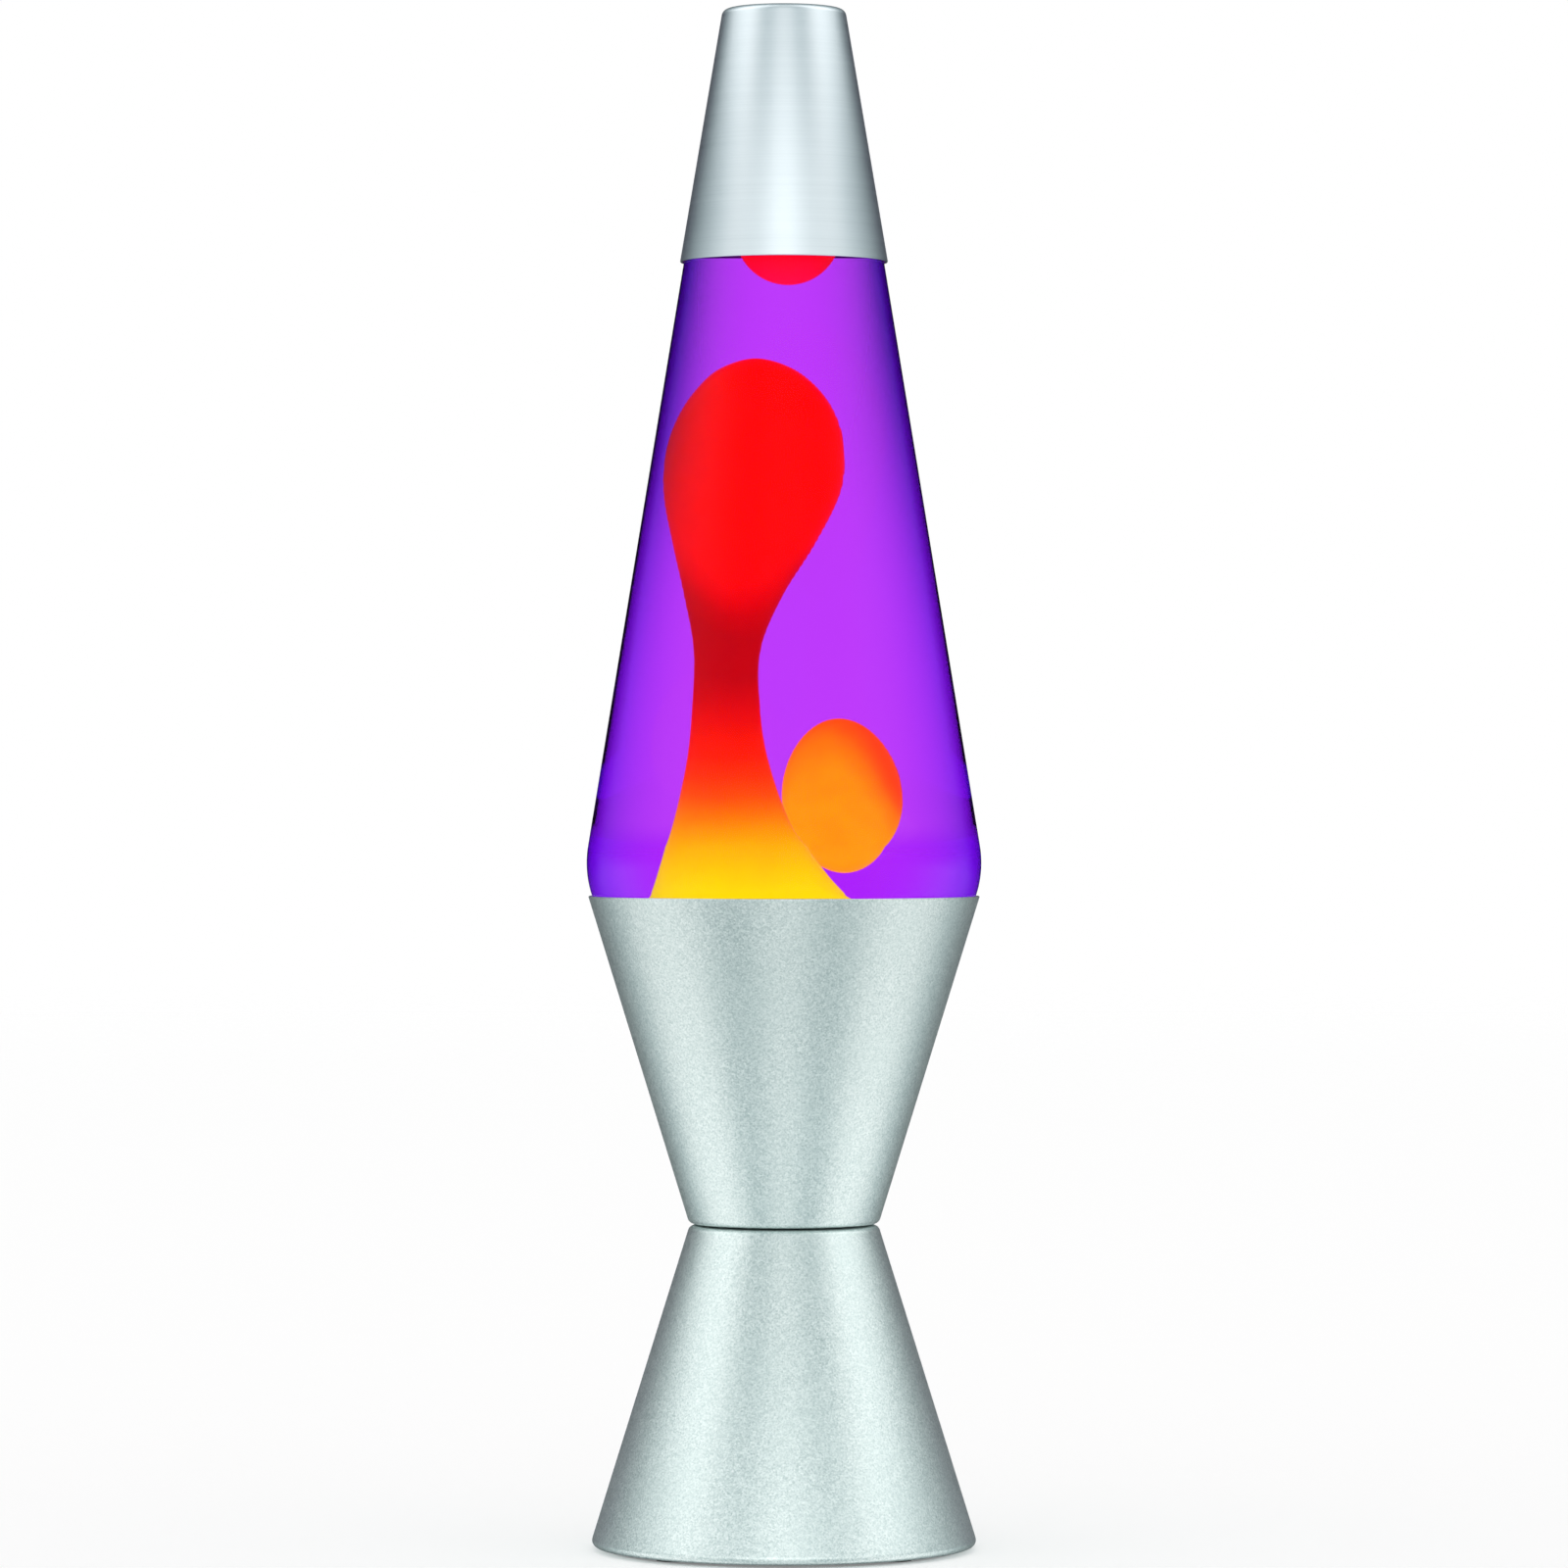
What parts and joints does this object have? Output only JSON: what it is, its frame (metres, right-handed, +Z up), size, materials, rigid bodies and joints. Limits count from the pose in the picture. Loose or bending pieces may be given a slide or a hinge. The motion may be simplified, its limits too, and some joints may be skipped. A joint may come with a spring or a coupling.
{
  "type": "lava lamp",
  "caption": "Motion lamp: tapered glass bottle of violet liquid and rising wax under a spun cap, standing in a flared silver cup on a conical base with a bulb inside.",
  "frame": {"origin": "on the floor, at the centre of the lamp's footprint, level with the soles of the feet", "axes": "+Z up along the lamp's axis, from the base to the cap; +Y towards the cord inlet at the back, and -Y towards the front"},
  "size_m": [0.0944, 0.0944, 0.3688],
  "materials": {
    "silver_paint": "satin",
    "brushed_silver": "satin",
    "globe_glass": "polished",
    "bulb_glass": "polished",
    "violet_liquid": "polished",
    "red_wax": "satin",
    "orange_wax": "satin",
    "tinplate": "satin",
    "cork": "matte",
    "brass": "satin",
    "nickel": "satin",
    "steel": "satin",
    "solder": "satin",
    "tungsten": "satin",
    "phenolic": "satin",
    "black_plastic": "matte",
    "foot_rubber": "matte"
  },
  "bodies": {
    "base": {"base_skirt": "silver_paint", "base_cup": "silver_paint", "cord_grommet": "black_plastic", "bottom_plate": "black_plastic", "foot_1": "foot_rubber", "foot_2": "foot_rubber", "foot_3": "foot_rubber", "foot_4": "foot_rubber", "socket_body": "phenolic", "socket_ring": "phenolic", "terminal_cover": "phenolic", "socket_lock_washer": "steel", "socket_shell": "brass", "socket_contact": "brass", "terminal_screw_live": "brass", "terminal_screw_neutral": "brass"},
    "bulb_rising": {"bulb_tip": "solder"},
    "bulb": {"bulb_glass": "bulb_glass", "bulb_shell": "nickel", "bulb_insulator": "phenolic", "bulb_stem": "bulb_glass", "bulb_filament": "tungsten"},
    "globe": {"globe_bottle": "globe_glass", "crown_cap": "tinplate", "crown_liner": "cork", "liquid": "violet_liquid", "wax_column": "red_wax", "heating_coil": "steel"},
    "drop": {"wax_drop": "orange_wax"},
    "top_blob": {"wax_top": "red_wax"},
    "cap": {"cap_shell": "brushed_silver"}
  },
  "joints": [
    {"name": "globe_lift", "type": "slide", "parent": "base", "child": "globe", "axis": [0, 0, 1], "range_m": [0, 0.045]},
    {"name": "cap_lift", "type": "slide", "parent": "globe", "child": "cap", "axis": [0, 0, 1], "range_m": [0, 0.055]},
    {"name": "drop_rise", "type": "slide", "parent": "globe", "child": "drop", "axis": [0, 0, 1], "range_m": [0, 0.038], "deforming": ["liquid"]},
    {"name": "top_blob_sink", "type": "slide", "parent": "globe", "child": "top_blob", "axis": [0, 0, 1], "range_m": [-0.014, 0], "deforming": ["liquid"]},
    {"name": "bulb_rise", "type": "slide", "parent": "base", "child": "bulb_rising", "axis": [0, 0, 1], "range_m": [0, 0.00565]},
    {"name": "bulb_turn", "type": "hinge", "parent": "bulb_rising", "child": "bulb", "pos_m": [0, 0, 0.08], "axis": [0, 0, 1], "range_deg": [0, 720]}
  ],
  "couplings": [
    {"joint": "bulb_rise", "follows": "bulb_turn", "m_per_rad": 0.00044882}
  ]
}
